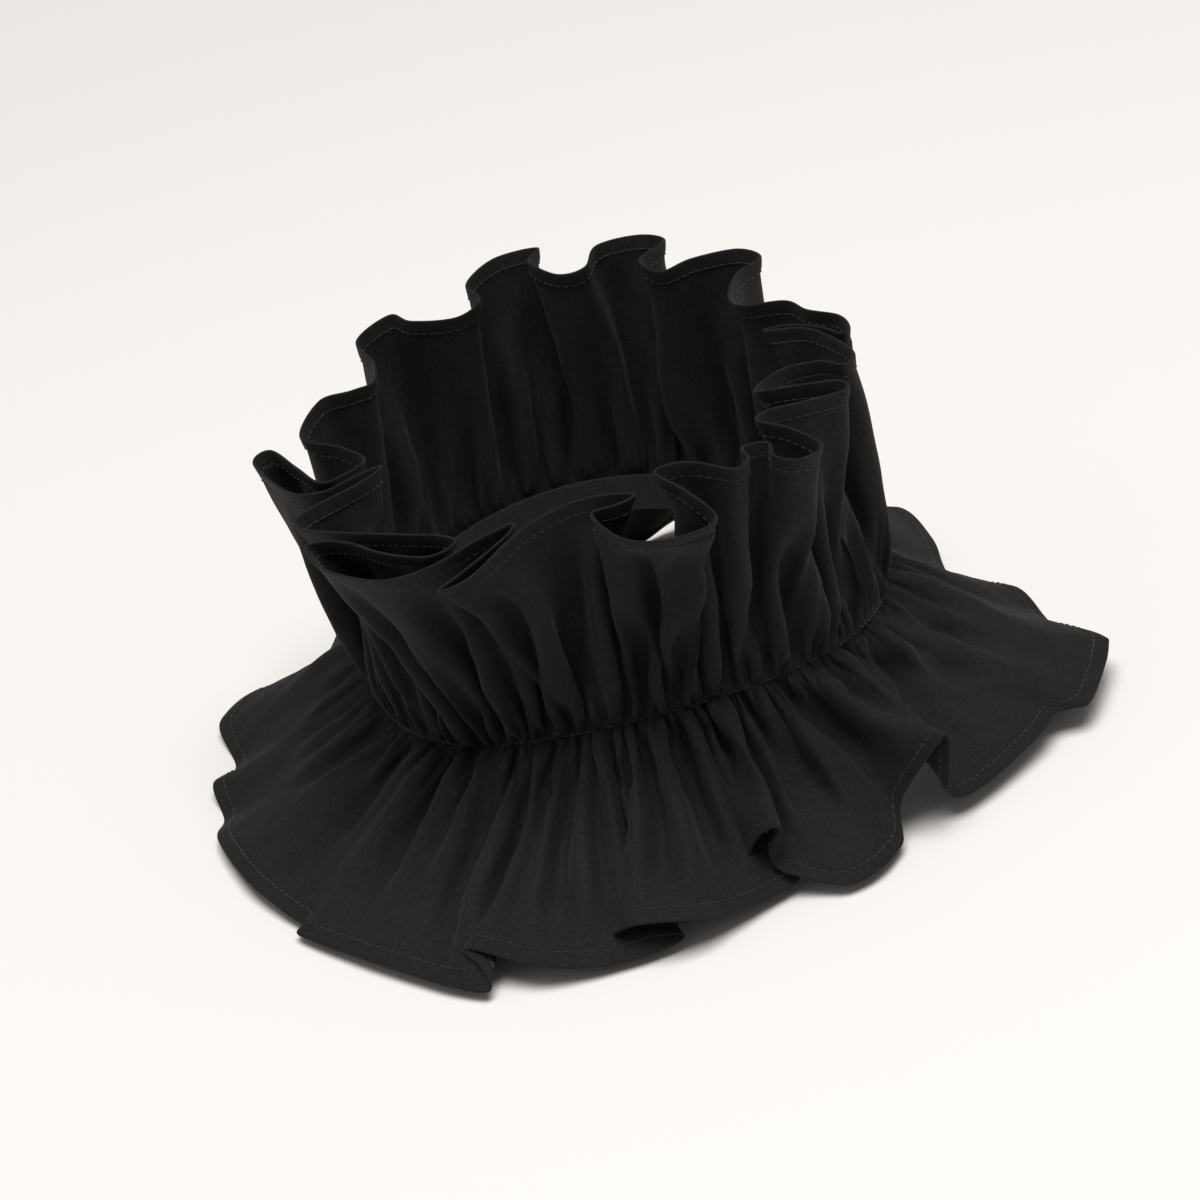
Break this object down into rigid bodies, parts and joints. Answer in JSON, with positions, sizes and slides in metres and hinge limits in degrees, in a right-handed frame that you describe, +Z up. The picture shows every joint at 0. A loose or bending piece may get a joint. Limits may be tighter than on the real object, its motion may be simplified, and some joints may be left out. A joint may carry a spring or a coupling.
{
  "type": "ruff collar",
  "caption": "Worn neck collar of gathered black cotton: a standing pleated frill above the neck seam and a flared frill below it, with an elastic casing inside.",
  "frame": {"origin": "centre of the neck seam ring, where the wearer's neck holds the collar", "axes": "+Z up the neck, the front of the wearer faces -Y, +X to the wearer's left"},
  "size_m": [0.2673, 0.277, 0.1266],
  "materials": {
    "black_cotton": "matt plain-weave cotton, dyed black",
    "casing_cotton": "matt black cotton casing over elastic"
  },
  "bodies": {
    "root": {"upper_ruffle": "black_cotton", "lower_ruffle": "black_cotton", "neck_casing": "casing_cotton"}
  },
  "joints": []
}
